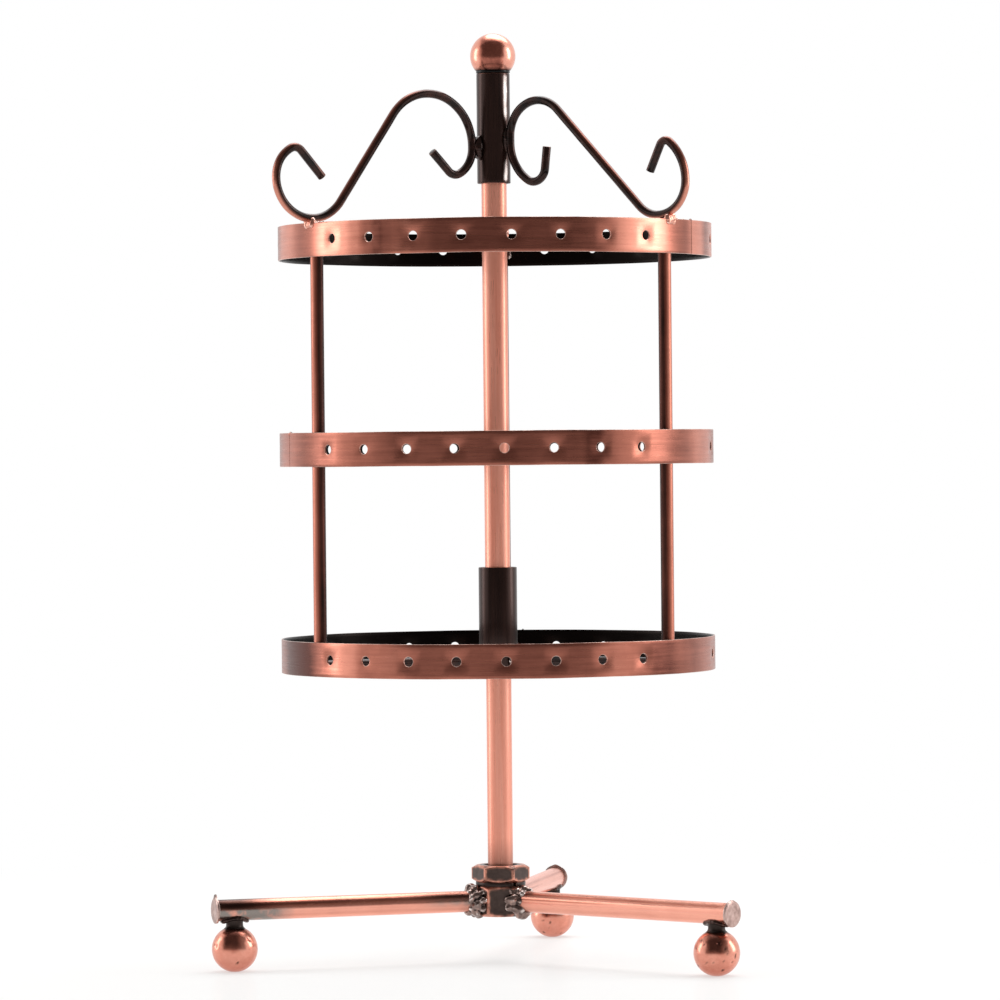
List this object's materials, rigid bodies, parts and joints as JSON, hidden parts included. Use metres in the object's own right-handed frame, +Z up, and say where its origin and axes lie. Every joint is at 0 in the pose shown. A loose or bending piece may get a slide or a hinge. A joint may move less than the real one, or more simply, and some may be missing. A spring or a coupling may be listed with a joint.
{
  "type": "revolving jewellery display stand",
  "caption": "Turning frame of stacked hooped rings with hook holes and scrolled wire top, on a fixed pole with a ball-footed tripod base.",
  "frame": {"origin": "on the pole's axis, in the plane of the flats that the three ball feet stand on", "axes": "+Z up the pole; +Y along the back leg, so that the two front legs point to -Y's two sides; the frame's three rods and scrolls stand at 224.4, 334 and 99.2 degrees from +X towards +Y at rest"},
  "size_m": [0.1888, 0.1846, 0.3311],
  "materials": {
    "bright_copper": "steel, antique copper plate brushed bright and lacquered",
    "dark_copper": "steel, copper plate blackened with liver of sulphur and only rubbed on the edges",
    "rubbed_copper": "steel, blackened copper plate rubbed back to copper along one side",
    "dark_nut": "steel nut, blackened, copper showing along worn corners",
    "weld": "rough weld metal, blackened",
    "nylon": "natural nylon",
    "bare_steel": "zinc plated steel"
  },
  "bodies": {
    "base": {"finial_ball": "bright_copper", "finial_stud": "bare_steel", "finial_washer": "dark_copper", "foot_ball_back": "bright_copper", "foot_ball_left": "bright_copper", "foot_ball_right": "bright_copper", "foot_stud_back": "weld", "foot_stud_left": "weld", "foot_stud_right": "weld", "foot_welds": "weld", "hub_nut": "dark_nut", "hub_welds": "weld", "leg_back": "bright_copper", "leg_cap_back": "bright_copper", "leg_cap_left": "bright_copper", "leg_cap_right": "bright_copper", "leg_left": "bright_copper", "leg_right": "bright_copper", "lock_nut": "dark_nut", "lock_washer": "dark_nut", "pole_stud": "dark_nut", "pole_top_plug": "bare_steel", "pole_tube": "bright_copper", "thrust_washer": "nylon"},
    "turning_frame": {"lower_bush": "nylon", "lower_sleeve": "dark_copper", "ring_lower": "bright_copper", "ring_middle": "bright_copper", "ring_upper": "bright_copper", "rod_back": "rubbed_copper", "rod_left": "rubbed_copper", "rod_right": "rubbed_copper", "rod_welds": "weld", "scroll_back": "dark_copper", "scroll_left": "dark_copper", "scroll_right": "dark_copper", "scroll_welds": "weld", "sleeve_cap": "dark_copper", "sleeve_welds": "weld", "spoke_back": "rubbed_copper", "spoke_left": "rubbed_copper", "spoke_right": "rubbed_copper", "spoke_welds": "weld", "upper_sleeve": "dark_copper"}
  },
  "joints": [
    {"name": "frame_spin", "type": "hinge", "parent": "base", "child": "turning_frame", "pos_m": [0, 0, 0.3], "axis": [0, 0, 1], "continuous": true}
  ]
}
